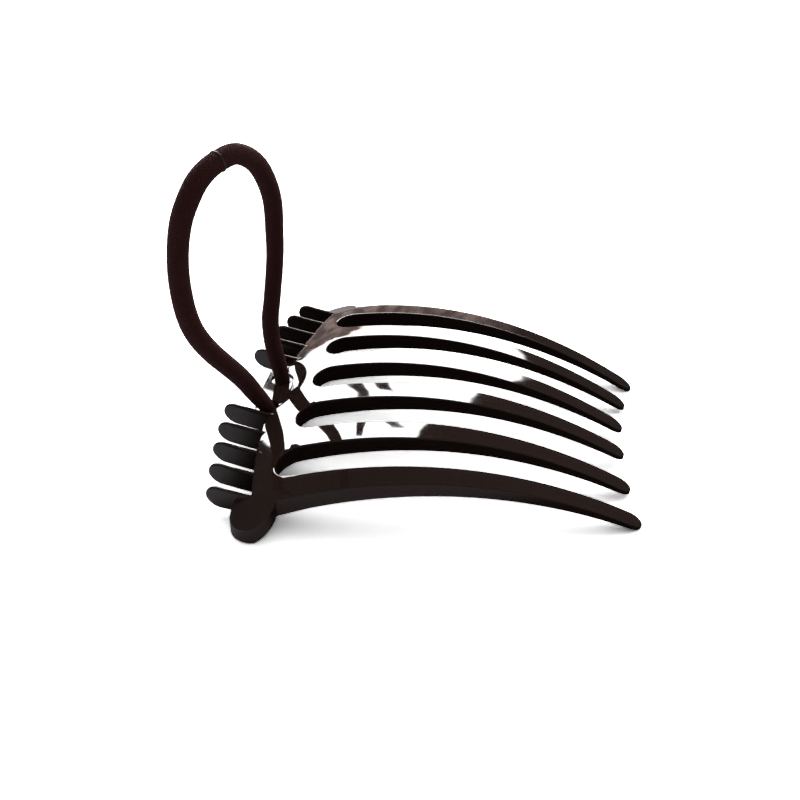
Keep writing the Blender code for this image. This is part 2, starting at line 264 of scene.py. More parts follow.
def slice_plate(
    plate: bpy.types.Object, axis: Axis, places: Iterable[float],
    within: Callable[[Vector], bool] = lambda middle: True,
) -> None:
    """Cut a plate's faces along planes, so that it can bend.

    Args:
        plate: the plate.
        axis: the axis across which the planes stand.
        places: where each plane stands.
        within: a test for the faces that are cut.
    """
    make_active(plate)
    bpy.ops.object.mode_set(mode="EDIT")
    bpy.ops.mesh.select_mode(type="FACE")
    normal = (1.0, 0.0, 0.0) if axis is Axis.X else (0.0, 1.0, 0.0)
    for place in places:
        bpy.ops.mesh.select_all(action="DESELECT")
        body = bmesh.from_edit_mesh(plate.data)
        for face in body.faces:
            face.select_set(within(face.calc_center_median()))
        bmesh.update_edit_mesh(plate.data)
        point = tuple(value * place for value in normal)
        bpy.ops.mesh.bisect(plane_co=point, plane_no=normal, threshold=TOUCH)
    bpy.ops.object.mode_set(mode="OBJECT")


def triangulate(piece: bpy.types.Object) -> None:
    """Split a piece's faces into triangles.

    Args:
        piece: the piece, in object mode.
    """
    make_active(piece)
    bpy.ops.object.mode_set(mode="EDIT")
    bpy.ops.mesh.select_all(action="SELECT")
    bpy.ops.mesh.quads_convert_to_tris(quad_method="SHORTEST_DIAGONAL", ngon_method="BEAUTY")
    bpy.ops.object.mode_set(mode="OBJECT")


def apply_boolean(target: bpy.types.Object, tool: bpy.types.Object, operation: Boolean) -> None:
    """Join or cut one solid with another, and remove the tool.

    Args:
        target: the solid that stays.
        tool: the solid that joins or cuts it.
        operation: whether it joins or cuts.
    """
    make_active(target)
    modifier = target.modifiers.new(tool.name, "BOOLEAN")
    modifier.operation = operation.value
    modifier.solver = "EXACT"
    modifier.object = tool
    bpy.ops.object.modifier_apply(modifier=modifier.name)
    mesh = tool.data
    bpy.data.objects.remove(tool)
    bpy.data.meshes.remove(mesh)


@dataclass
class CombForm:
    """The comb's driving sizes, and where a point of the flat plate goes."""

    pitch: float = 0.0130
    root_width: float = 0.00566
    tip_width: float = 0.00346
    tip_rounding: float = 0.0023
    # Each pair of teeth: pitches from the middle, length, gather at the tip, drop of the tip
    pairs: tuple = ((0.5, 0.0653, 0.33, 0.0), (1.5, 0.0663, 0.30, 0.0009), (2.5, 0.0681, 0.32, 0.0018))
    gap_roots: tuple = (0.00135, 0.00115, 0.0005)
    narrowing: tuple = (1.41, -0.41)
    thinning: tuple = (0.72, 0.28)
    root_height: float = 0.0084
    crown_rise: float = 0.00458
    crown_place: float = 0.394
    side_drop: float = 0.00240
    side_drop_fade: float = 1.13
    side_drop_power: float = 1.8
    root_thickness: float = 0.00395
    tip_thickness: float = 0.0009
    back_x: float = -0.0065
    back_bow: float = 0.0043
    notch_x: float = -0.0127
    notch_radius: float = 0.0119
    notch_corner_y: float = 0.0097
    lobe_x: float = -0.0012
    lobe_y: float = 0.0356
    lobe_radius: float = 0.00415
    lobe_droop_from: float = 0.0335
    lobe_droop: float = 0.0012
    lobe_corner: float = 0.0003

    @property
    def outer_row(self) -> float:
        """How far from the middle the outer teeth stand."""
        return self.pairs[-1][0] * self.pitch

    @property
    def root_end(self) -> float:
        """Where the last gap has its full width."""
        return self.gap_roots[0] + (self.pitch - self.root_width) / 2

    def back_edge(self, y: float) -> float:
        """The back edge's x at one place along it."""
        return self.back_x + self.back_bow * (y / self.outer_row) ** 2

    def top(self, x: float, y: float, pair: tuple) -> float:
        """The top face's height.

        Args:
            x: the place along the teeth, from the root line.
            y: the finished place across the comb.
            pair: the pair of teeth that it belongs to.

        Returns:
            The height above the surface on which the comb lies.
        """
        _, length, _, tip_drop = pair
        along = x / length
        forward = max(along, 0.0)
        crown = self.crown_rise * (1.0 - ((along - self.crown_place) / self.crown_place) ** 2)
        fade = 1.0 - self.side_drop_fade * forward ** self.side_drop_power
        height = self.root_height + crown - self.side_drop * fade * (y / self.outer_row) ** 2
        height -= tip_drop * forward
        reach = self.lobe_y + self.lobe_radius - self.lobe_droop_from
        beyond = max(abs(y) - self.lobe_droop_from, 0.0) / reach
        if x < self.gap_roots[0] + self.pitch / 2:
            height -= self.lobe_droop * beyond
        return height

    def place(self, point: Vector) -> Vector:
        """Where a point of the flat plate lies on the finished comb.

        Args:
            point: the point, from the root line and the middle of the plate's thickness.

        Returns:
            Its finished place, from the root line and the surface below.
        """
        pair = self.pairs[min(int(abs(point.y) / self.pitch), len(self.pairs) - 1)]
        pitches, length, gather, _ = pair
        along = min(max(point.x / length, 0.0), 1.0)
        row = copysign(pitches * self.pitch, point.y)
        width = 1.0 - (1.0 - self.tip_width / self.root_width) * (
            self.narrowing[0] * along + self.narrowing[1] * along ** 2
        )
        y = row * (1.0 - gather * along) + (point.y - row) * width
        thinning = self.thinning[0] * along + self.thinning[1] * along ** 3
        thickness = self.root_thickness - (self.root_thickness - self.tip_thickness) * thinning
        depth = (self.root_thickness / 2 - point.z) / self.root_thickness
        return Vector((point.x, y, max(self.top(point.x, y, pair) - depth * thickness, 0.0)))


class Wiring:
    """The nodes of one material or world, with short ways to add and join them."""

    def __init__(self, tree: bpy.types.NodeTree) -> None:
        """Take up the node tree of a material or a world."""
        self.nodes = tree.nodes
        self.links = tree.links

    def feed(self, target: Socket, value: Value) -> None:
        """Give an input a constant or another node's output.

        Args:
            target: the input.
            value: the constant or the output.
        """
        if isinstance(value, Socket):
            self.links.new(value, target)
        else:
            target.default_value = value

    def on_piece(self) -> Socket:
        """The place on the piece, in metres."""
        return self.nodes.new("ShaderNodeTexCoord").outputs["Object"]

    def split(self, value: Socket) -> bpy.types.bpy_prop_collection:
        """The three parts of a place or a direction.

        Args:
            value: the place or direction.

        Returns:
            The outputs X, Y and Z.
        """
        node = self.nodes.new("ShaderNodeSeparateXYZ")
        self.links.new(value, node.inputs["Vector"])
        return node.outputs

    def noise(self, where: Socket, scale: float, detail: float) -> Socket:
        """An even noise from 0 to 1.

        Args:
            where: the place at which it is read.
            scale: how fine it is.
            detail: how many finer layers it has.

        Returns:
            The noise's value.
        """
        texture = self.nodes.new("ShaderNodeTexNoise")
        texture.inputs["Scale"].default_value = scale
        texture.inputs["Detail"].default_value = detail
        self.links.new(where, texture.inputs["Vector"])
        return texture.outputs["Fac"]

    def math(self, operation: str, first: Value, second: Optional[Value] = None) -> Socket:
        """The result of one sum.

        Args:
            operation: the kind of sum.
            first: its first value.
            second: its second value, if it takes two.

        Returns:
            The sum's result.
        """
        node = self.nodes.new("ShaderNodeMath")
        node.operation = operation
        self.feed(node.inputs[0], first)
        if second is not None:
            self.feed(node.inputs[1], second)
        return node.outputs[0]

    def remap(self, value: Socket, reach: Pair, result: Pair, smooth: bool = False) -> Socket:
        """A value brought from one span to another.

        Args:
            value: the value.
            reach: the span in which it is given.
            result: the span to which it is brought.
            smooth: whether it starts and ends gently.

        Returns:
            The value in its new span.
        """
        node = self.nodes.new("ShaderNodeMapRange")
        if smooth:
            node.interpolation_type = "SMOOTHSTEP"
        for name, number in zip(("From Min", "From Max", "To Min", "To Max"), (*reach, *result)):
            node.inputs[name].default_value = number
        self.links.new(value, node.inputs["Value"])
        return node.outputs["Result"]

    def rise(self, value: Socket, start: float, end: float) -> Socket:
        """A smooth rise of a value from 0 at one place to 1 at another."""
        return self.remap(value, (start, end), (0.0, 1.0), smooth=True)

    def ramp(self, value: Socket, places: Pair, colours: tuple[Colour, Colour]) -> Socket:
        """A colour that goes from one to another as a value rises.

        Args:
            value: the value.
            places: where the first colour ends and where the second one begins.
            colours: the two colours.

        Returns:
            The colour.
        """
        node = self.nodes.new("ShaderNodeValToRGB")
        for element, place, colour in zip(node.color_ramp.elements, places, colours):
            element.position = place
            element.color = colour
        self.links.new(value, node.inputs["Fac"])
        return node.outputs["Color"]

    def mix(self, kind: Mixed, share: Socket, first: Value, second: Value, blend: str = "MIX") -> Socket:
        """Two numbers or colours in one.

        Args:
            kind: whether they are numbers or colours.
            share: how much of the second there is.
            first: the first one.
            second: the second one.
            blend: how the second one is laid over the first.

        Returns:
            The mixed number or colour.
        """
        node = self.nodes.new("ShaderNodeMix")
        node.data_type = kind.value
        node.blend_type = blend
        self.links.new(share, node.inputs["Factor"])
        self.feed(node.inputs["A"], first)
        self.feed(node.inputs["B"], second)
        return node.outputs["Result"]

    def bump(self, shader: bpy.types.Node, height: Socket, strength: float, depth: float) -> None:
        """Give a shader a fine relief.

        Args:
            shader: the shader.
            height: the relief's height.
            strength: how much of it shows.
            depth: how deep it is, in metres.
        """
        node = self.nodes.new("ShaderNodeBump")
        node.inputs["Strength"].default_value = strength
        node.inputs["Distance"].default_value = depth
        self.links.new(height, node.inputs["Height"])
        self.links.new(node.outputs["Normal"], shader.inputs["Normal"])


def new_material(name: str) -> tuple[bpy.types.Material, Wiring, bpy.types.Node]:
    """A new material.

    Args:
        name: its name.

    Returns:
        The material, its nodes and its main shader.
    """
    material = bpy.data.materials.new(name)
    material.use_nodes = True
    wiring = Wiring(material.node_tree)
    return material, wiring, wiring.nodes["Principled BSDF"]


@dataclass(frozen=True)
class GlossyPlastic:
    """Dark brown moulded plastic, nearly black, with a faint mottle and a wavy gloss."""

    name: str = "dark_brown_plastic"
    deep: Colour = (0.0220, 0.0128, 0.0105, 1.0)
    warm: Colour = (0.0275, 0.0158, 0.0125, 1.0)
    mottle_places: Pair = (0.35, 0.75)
    # How fine each noise is, and how many layers it has
    mottle: Pair = (55.0, 3.0)
    gloss: Pair = (260.0, 2.0)
    wave: Pair = (210.0, 1.0)
    roughness: Pair = (0.02, 0.05)
    ripple: float = 0.05
    ripple_depth: float = 0.0003
    refraction: float = 1.5

    def make(self) -> bpy.types.Material:
        """The material, with its nodes.

        Returns:
            The material.
        """
        material, wiring, shader = new_material(self.name)
        where = wiring.on_piece()
        brown = wiring.ramp(wiring.noise(where, *self.mottle), self.mottle_places, (self.deep, self.warm))
        wiring.feed(shader.inputs["Base Color"], brown)
        blur = wiring.remap(wiring.noise(where, *self.gloss), (0.0, 1.0), self.roughness)
        wiring.feed(shader.inputs["Roughness"], blur)
        wiring.bump(shader, wiring.noise(where, *self.wave), self.ripple, self.ripple_depth)
        shader.inputs["IOR"].default_value = self.refraction
        return material


@dataclass(frozen=True)
class BraidedCover:
    """The elastic's knitted cover: matt, reddish dark brown, in fine slanting stitches."""

    name: str = "dark_brown_elastic"
    dark: Colour = (0.0150, 0.0044, 0.0047, 1.0)
    light: Colour = (0.0540, 0.0160, 0.0160, 1.0)
    light_places: Pair = (0.15, 1.0)
    stitches_round: float = 22.0
    stitches_along: float = 210.0
    stitch_height: float = 0.6
    fibre: Pair = (2600.0, 3.0)
    relief: float = 0.45
    relief_depth: float = 0.00012
    roughness: float = 0.9
    gloss: float = 0.12
    fluff: float = 0.08
    fluff_roughness: float = 0.4
    fluff_tint: Colour = (1.0, 0.6, 0.55, 1.0)

    def make(self) -> bpy.types.Material:
        """The material, with its nodes.

        Returns:
            The material.
        """
        material, wiring, shader = new_material(self.name)
        place = wiring.nodes.new("ShaderNodeUVMap")
        place.uv_map = "braid"
        parts = wiring.split(place.outputs["UV"])
        ridges = []
        for slant in (1.0, -1.0):
            along = wiring.math("MULTIPLY", parts["Y"], self.stitches_along * 2 * pi * slant)
            around = wiring.math("MULTIPLY", parts["X"], self.stitches_round * 2 * pi)
            ridges.append(wiring.math("SINE", wiring.math("ADD", along, around)))
        weave = wiring.math("MULTIPLY", wiring.math("MAXIMUM", *ridges), self.stitch_height)
        height = wiring.math("ADD", weave, wiring.noise(wiring.on_piece(), *self.fibre))
        # The colour follows the relief: darker in the grooves between the stitches as painted shade, lighter
        # on their crowns, with a random fibre tone over it
        brown = wiring.ramp(height, self.light_places, (self.dark, self.light))
        wiring.feed(shader.inputs["Base Color"], brown)
        wiring.bump(shader, height, self.relief, self.relief_depth)
        shader.inputs["Roughness"].default_value = self.roughness
        shader.inputs["Specular IOR Level"].default_value = self.gloss
        shader.inputs["Sheen Weight"].default_value = self.fluff
        shader.inputs["Sheen Roughness"].default_value = self.fluff_roughness
        shader.inputs["Sheen Tint"].default_value = self.fluff_tint
        return material


@dataclass(frozen=True)
class DullGlue:
    """The dull brown glue at the elastic's joint."""

    name: str = "joint_glue"
    dark: Colour = (0.015, 0.011, 0.010, 1.0)
    light: Colour = (0.030, 0.022, 0.020, 1.0)
    blotch: Pair = (1500.0, 2.0)
    roughness: float = 0.45

    def make(self) -> bpy.types.Material:
        """The material, with its nodes.

        Returns:
            The material.
        """
        material, wiring, shader = new_material(self.name)
        blotch = wiring.noise(wiring.on_piece(), *self.blotch)
        brown = wiring.ramp(blotch, (0.0, 1.0), (self.dark, self.light))
        wiring.feed(shader.inputs["Base Color"], brown)
        shader.inputs["Roughness"].default_value = self.roughness
        return material


@dataclass
class CombMoulding:
    """The moulded comb: slab, shelf and fins as one solid."""

    form: CombForm = field(default_factory=CombForm)
    top_rounding: float = 0.0006
    bottom_rounding: float = 0.0004
    top_facets: int = 5
    bottom_facets: int = 3
    # Into how many chords the outline's arcs fall
    notch_steps: int = 22
    back_steps_a_fin: int = 5
    lobe_steps: int = 36
    corner_steps: int = 8
    tip_steps: int = 24
    gap_quarter_steps: int = 14
    # Where the slab is sliced to bend: the spine's first plane, their distance and their number
    spine_slices: tuple = (-0.0082, 0.00085, 14)
    tooth_slices: int = 44
    cross_slice: float = 0.00131
    cross_slices_a_side: int = 29
    fin_first_y: float = 0.0103
    fin_pitch: float = 0.0057
    fins_a_side: int = 5
    fin_thickness: float = 0.0008
    fin_rounding: float = 0.00038
    fin_facets: int = 5
    fin_top_hollow: float = 0.00008
    fin_top_steps: int = 8
    fin_seating: float = 0.0016
    fin_top: float = 0.00663
    fin_top_drop: float = 0.00148
    fin_top_drop_power: float = 1.3
    fin_top_slope: float = 0.176
    fin_end: tuple = (-0.00655, -0.00093)
    fin_end_radius: float = 0.00205
    fin_end_steps: int = 20
    fin_arc_change: float = 205.0
    fin_under_radius: float = 0.00345
    fin_under_end: float = 255.0
    fin_under_steps: int = 14
    fin_root_depth: float = 0.0054
    fin_root_lowest: float = 0.0004
    shelf_edge_x: float = -0.0096
    shelf_top: float = 0.0054
    shelf_thickness: float = 0.0010
    shelf_cove: float = 0.0028
    shelf_below_rim: float = 0.0004
    shelf_lap: float = 0.0008
    shelf_arc_steps: int = 40
    shelf_slice: float = 0.0004
    shelf_slices: tuple = (24, 26)
    hole_radius: float = 0.0024
    hole_depth: float = 0.006
    hole_sides: int = 48
    holes: tuple = ((-0.0068, -0.0068), (-0.0064, 0.0033))
    smooth_angle: float = 32.0

    def fin_row(self, index: int) -> float:
        """How far from the middle one of the fins stands."""
        return self.fin_first_y + index * self.fin_pitch

    def half_outline(self) -> list[Pair]:
        """The slab's outline at +y.

        Returns:
            Its points, from the middle of the notch round to the middle gap.
        """
        form = self.form
        half_width = form.root_width / 2
        gap_radius = form.pitch / 2 - half_width
        notch_angle = degrees(asin(form.notch_corner_y / form.notch_radius))
        points = arc((form.notch_x, 0.0), form.notch_radius, 0.0, notch_angle, self.notch_steps)
        last_fin = self.fin_row(self.fins_a_side - 1)
        first_y = self.fin_row(0) + self.fin_thickness / 4
        last_y = last_fin - self.fin_thickness / 4
        steps = self.back_steps_a_fin * self.fins_a_side
        for step in range(steps + 1):
            y = first_y + (last_y - first_y) * step / steps
            points.append((form.back_edge(y), y))
        points.append((form.lobe_x - form.lobe_radius, last_fin))
        corner_y = form.outer_row + half_width + form.lobe_corner
        corner_start = degrees(asin((corner_y - form.lobe_y) / form.lobe_radius))
        points += arc((form.lobe_x, form.lobe_y), form.lobe_radius, 180.0, corner_start, self.lobe_steps)
        corner_x = form.lobe_x + form.lobe_radius * cos(radians(corner_start)) + form.lobe_corner
        points += arc((corner_x, corner_y), form.lobe_corner, 180.0, 270.0, self.corner_steps)[1:]
        for (pitches, length, _, _), gap_root in zip(reversed(form.pairs), reversed(form.gap_roots)):
            row = pitches * form.pitch
            tip = (length - form.tip_rounding, row)
            points += arc(tip, half_width, 90.0, -90.0, self.tip_steps, form.tip_rounding / half_width)
            gap = (gap_root + gap_radius, row - form.pitch / 2)
            quarters = 1 if pitches < 1.0 else 2
            points += arc(gap, gap_radius, 90.0, 90.0 + 90.0 * quarters, self.gap_quarter_steps * quarters)
        return points

    def slab(self) -> bpy.types.Object:
        """The slab with rounded rims, sliced and brought to its form.

        Returns:
            The slab, in triangles.
        """
        form = self.form
        half = self.half_outline()
        outline = half + [(x, -y) for x, y in reversed(half[1:-1])]
        slab = flat_plate("comb_moulding_visual", outline, form.root_thickness)
        last_fin = self.fin_row(self.fins_a_side - 1)
        edge_x = form.back_edge(last_fin)

        def under_a_fin(middle: Vector) -> bool:
            """Whether an edge lies where the last fin is seated."""
            return middle.x < edge_x and abs(abs(middle.y) - last_fin) < self.fin_thickness / 2

        round_rim(slab, form.root_thickness / 2, self.top_rounding, self.top_facets, under_a_fin)
        round_rim(slab, -form.root_thickness / 2, self.bottom_rounding, self.bottom_facets)
        first, distance, count = self.spine_slices
        slice_plate(slab, Axis.X, [first + distance * step for step in range(count)])
        stretch = (form.pairs[-1][1] - form.tip_rounding - form.root_end) / self.tooth_slices
        slice_plate(slab, Axis.X, [form.root_end + stretch * step for step in range(self.tooth_slices + 1)])
        rows = range(-self.cross_slices_a_side, self.cross_slices_a_side + 1)
        slice_plate(
            slab, Axis.Y, [self.cross_slice * step for step in rows], lambda middle: middle.x < form.root_end
        )
        for vert in slab.data.vertices:
            vert.co = form.place(vert.co)
        triangulate(slab)
        return slab

    def fin(self, side: Side, index: int) -> bpy.types.Object:
        """One upright blade with a round free end, seated in the back edge.

        Args:
            side: the side of the comb on which it stands.
            index: its number from the middle outwards.

        Returns:
            The blade, in triangles.
        """
        form = self.form
        y = self.fin_row(index)
        root_x = form.back_edge(y)
        share = index / (self.fins_a_side - 1)
        root_z = self.fin_top - self.fin_top_drop * share ** self.fin_top_drop_power
        end = (root_x + self.fin_end[0], root_z + self.fin_end[1])
        change = radians(self.fin_arc_change)
        offset = self.fin_under_radius - self.fin_end_radius
        under = (end[0] - offset * cos(change), end[1] - offset * sin(change))
        inner_x = root_x + self.fin_seating
        outline = [
            (inner_x, max(root_z - self.fin_root_depth, self.fin_root_lowest)),
            (inner_x, root_z - self.fin_top_slope * self.fin_seating),
        ]
        top_angle = degrees(atan2(1.0, self.fin_top_slope))
        free_end = arc(end, self.fin_end_radius, top_angle, self.fin_arc_change, self.fin_end_steps)
        steps = self.fin_top_steps
        for step in range(1, steps):
            x, z = (outline[1][i] + (free_end[0][i] - outline[1][i]) * step / steps for i in (0, 1))
            outline.append((x, z - 4 * self.fin_top_hollow * step / steps * (1 - step / steps)))
        outline += free_end
        outline += arc(
            under, self.fin_under_radius, self.fin_arc_change, self.fin_under_end, self.fin_under_steps
        )[1:]
        blade = flat_plate(f"fin_{side.name.lower()}_{index + 1}", outline, self.fin_thickness)
        for height in (self.fin_thickness / 2, -self.fin_thickness / 2):
            round_rim(blade, height, self.fin_rounding, self.fin_facets)
        upright = Matrix.Translation((0.0, side.value * y, 0.0)) @ Matrix.Rotation(pi / 2, 4, "X")
        blade.data.transform(upright)
        triangulate(blade)
        return blade

    def shelf(self) -> bpy.types.Object:
        """The thin shelf across the notch, dished up to the rim, with its two holes.

        Returns:
            The shelf.
        """
        form = self.form
        reach = form.notch_radius + self.shelf_lap
        side = self.fin_row(0)
        angle = degrees(asin(side / reach))
        outline = [(self.shelf_edge_x, side), (self.shelf_edge_x, -side)]
        outline += arc((form.notch_x, 0.0), reach, -angle, angle, self.shelf_arc_steps)
        plate = flat_plate("shelf", outline, self.shelf_thickness)
        along, across = self.shelf_slices
        slice_plate(plate, Axis.X, [self.shelf_edge_x + self.shelf_slice * step for step in range(1, along)])
        slice_plate(plate, Axis.Y, [self.shelf_slice * (step + 0.5) for step in range(-across, across)])
        for vert in plate.data.vertices:
            from_rim = form.notch_radius - hypot(vert.co.x - form.notch_x, vert.co.y)
            rise = (max(1.0 - max(from_rim, 0.0) / self.shelf_cove, 0.0)) ** 2
            rim = form.top(vert.co.x, vert.co.y, form.pairs[0]) - self.shelf_below_rim
            if vert.co.z > 0.0:
                vert.co.z = self.shelf_top + rise * max(rim - self.shelf_top, 0.0)
            else:
                vert.co.z = self.shelf_top - self.shelf_thickness
        triangulate(plate)
        for number, (x, y) in enumerate(self.holes):
            deselect_all()
            bpy.ops.mesh.primitive_cylinder_add(
                vertices=self.hole_sides, radius=self.hole_radius, depth=self.hole_depth,
                location=(x, y, self.shelf_top - self.shelf_thickness / 2),
            )
            pin = bpy.context.object
            pin.name = f"hole_pin_{number + 1}"
            apply_boolean(plate, pin, Boolean.CUT)
        return plate

    def build(self) -> bpy.types.Object:
        """The whole moulding as one solid, at its place in the frame.

        Returns:
            The dressed object, which replaces the node of the same solid.
        """
        comb = self.slab()
        apply_boolean(comb, self.shelf(), Boolean.JOIN)
        for side in Side:
            for index in range(self.fins_a_side):
                apply_boolean(comb, self.fin(side, index), Boolean.JOIN)
        comb.data.transform(Matrix.Translation(ROOT_LINE))
        make_active(comb)
        bpy.ops.object.shade_smooth_by_angle(angle=radians(self.smooth_angle))
        weights = comb.modifiers.new("face_weights", "WEIGHTED_NORMAL")
        weights.mode = "FACE_AREA"
        weights.keep_sharp = True
        bpy.ops.object.modifier_apply(modifier=weights.name)
        comb.data.materials.clear()
        comb.data.materials.append(GlossyPlastic().make())
        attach(comb, "root")
        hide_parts("comb_moulding")
        LOG.info("comb moulding: %d faces", len(comb.data.polygons))
        return comb


@dataclass
class ElasticLoop:
    """The round braided elastic on its route through the two holes."""

    diameter: float = 0.0036
    end_gap: float = 0.0003
    ring_step: float = 0.0004
    sides: int = 48
    curve_steps: int = 24
    # The length of elastic over which the braid's map goes from 0 to 1
    braid_length: float = 0.1
    smooth_angle: float = 50.0
    joint_place: float = 0.501
    joint_inset: float = 0.00012
    joint_radius: float = 0.00026
    joint_facets: tuple = (64, 14)

    def route(self, step: float) -> list[Vector]:
        """Points on a smooth curve through the route.

        Args:
            step: how far apart the points are.

        Returns:
            Each point's place and, fourth, its girth.
        """
        rows = [Vector(row) + ROOT_LINE.to_4d() - Vector((0.0, 0.0, 0.0, 1.0)) for row in ELASTIC_ROUTE]
        stops = [2 * rows[0] - rows[1], *rows, 2 * rows[-1] - rows[-2]]
        fine = []
        for index in range(1, len(stops) - 2):
            a, b, c, d = stops[index - 1:index + 3]
            for piece in range(self.curve_steps):
                t = piece / self.curve_steps
                square = (2 * a - 5 * b + 4 * c - d) * t ** 2
                fine.append(0.5 * (2 * b + (c - a) * t + square + (3 * b - a - 3 * c + d) * t ** 3))
        fine.append(rows[-1])
        lengths = self.lengths(fine)
        total = lengths[-1] - self.end_gap
        count = max(round(total / step), 2)
        points = []
        index = 0
        for number in range(count + 1):
            distance = total * number / count
            while lengths[index + 1] < distance:
                index += 1
            share = (distance - lengths[index]) / (lengths[index + 1] - lengths[index])
            points.append(fine[index].lerp(fine[index + 1], share))
        return points

    @staticmethod
    def lengths(points: Sequence[Vector]) -> list[float]:
        """How far along a line each of its points lies.

        Args:
            points: the line's points.

        Returns:
            The length up to each point.
        """
        reached = [0.0]
        for first, second in zip(points, points[1:]):
            reached.append(reached[-1] + (second.xyz - first.xyz).length)
        return reached

    def rings(self, body: bmesh.types.BMesh, points: Sequence[Vector]) -> list[list[bmesh.types.BMVert]]:
        """A ring round each point, turned from the last one only as far as the route bends.

        Args:
            body: the mesh that is built.
            points: the route's points with their girth.

        Returns:
            The rings.
        """
        across = Vector((0.0, 0.0, 1.0))
        rings = []
        for index, point in enumerate(points):
            before = points[max(index - 1, 0)].xyz
            after = points[min(index + 1, len(points) - 1)].xyz
            ahead = (after - before).normalized()
            across = (across - ahead * across.dot(ahead)).normalized()
            second = ahead.cross(across)
            radius = self.diameter / 2 * point.w
            ring = []
            for side in range(self.sides):
                angle = 2 * pi * side / self.sides
                offset = radius * (across * cos(angle) + second * sin(angle))
                ring.append(body.verts.new(point.xyz + offset))
            rings.append(ring)
        return rings

    def skin(
        self, body: bmesh.types.BMesh, rings: list[list[bmesh.types.BMVert]], reached: Sequence[float]
    ) -> None:
        """Faces between the rings, with the braid's own map, and a cap at each end.

        Args:
            body: the mesh that is built.
            rings: its rings.
            reached: how far along the elastic each ring lies.
        """
        layer = body.loops.layers.uv.new("braid")
        for index, (ring, following) in enumerate(zip(rings, rings[1:])):
            for side in range(self.sides):
                beyond = (side + 1) % self.sides
                face = body.faces.new((ring[side], ring[beyond], following[beyond], following[side]))
                corners = ((side, index), (side + 1, index), (side + 1, index + 1), (side, index + 1))
                for loop, (around, place) in zip(face.loops, corners):
                    loop[layer].uv = (around / self.sides, reached[place] / self.braid_length)
        body.faces.new(list(reversed(rings[0])))
        body.faces.new(rings[-1])

    def build(self) -> tuple[bpy.types.Object, float]:
        """The elastic as a closed tube in its braided cover.

        Returns:
            The elastic and the length of its centreline.
        """
        points = self.route(self.ring_step)
        reached = self.lengths(points)
        body = bmesh.new()
        self.skin(body, self.rings(body, points), reached)
        bmesh.ops.recalc_face_normals(body, faces=body.faces)
        mesh = bpy.data.meshes.new("elastic_loop_visual")
        body.to_mesh(mesh)
        body.free()
        loop = bpy.data.objects.new("elastic_loop_visual", mesh)
        bpy.context.scene.collection.objects.link(loop)
        make_active(loop)
        bpy.ops.object.shade_smooth_by_angle(angle=radians(self.smooth_angle))
        mesh.materials.append(BraidedCover().make())
        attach(loop, "root")
        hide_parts("elastic_loop")
        LOG.info("elastic: %.1f mm long, %d faces", reached[-1] * 1000, len(mesh.polygons))
        return loop, reached[-1]

    def build_joint(self) -> bpy.types.Object:
        """The collar of glue where the elastic's ends are joined.

        Returns:
            The dressed collar.
        """
        points = self.route(self.ring_step)
        place = int(self.joint_place * (len(points) - 1))
        middle = points[place]
        ahead = (points[place + 3].xyz - points[place - 3].xyz).normalized()
        deselect_all()
        around, across = self.joint_facets
        bpy.ops.mesh.primitive_torus_add(
            major_radius=self.diameter / 2 * middle.w - self.joint_inset, minor_radius=self.joint_radius,
            major_segments=around, minor_segments=across,
        )
        collar = bpy.context.object
        collar.name = "glued_joint_visual"
        turn = Vector((0.0, 0.0, 1.0)).rotation_difference(ahead).to_matrix().to_4x4()
        collar.data.transform(Matrix.Translation(middle.xyz) @ turn)
        make_active(collar)
        bpy.ops.object.shade_smooth()
        collar.data.materials.append(DullGlue().make())
        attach(collar, "root")
        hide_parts("glued_joint")
        LOG.info("joint: %d faces", len(collar.data.polygons))
        return collar


@dataclass(frozen=True)
class WindowPlane:
    """A direction as a place on a plane one metre behind the comb."""

    wiring: Wiring
    across: Socket
    up: Socket

    def shape(self, corners: Corners, spread: float, softness: float) -> Socket:
        """How far a direction lies within a shape on the plane.

        Args:
            corners: the shape's corners clockwise, with no hollows between them.
            spread: how far outside the lines between its corners the shape begins.
            softness: over what width it grows from none to whole.

        Returns:
            The share that lies within it, from 0 to 1.
        """
        wiring = self.wiring
        within = None
        for first, second in zip(corners, corners[1:] + corners[:1]):
            run, rise = second[0] - first[0], second[1] - first[1]
            length = hypot(run, rise)
            normal = (rise / length, -run / length)
            sideways = wiring.math("MULTIPLY", self.across, normal[0])
            reach = wiring.math("ADD", sideways, wiring.math("MULTIPLY", self.up, normal[1]))
            level = first[0] * normal[0] + first[1] * normal[1] - spread
            inside = wiring.rise(reach, level, level + softness)
            within = inside if within is None else wiring.math("MULTIPLY", within, inside)
        return within


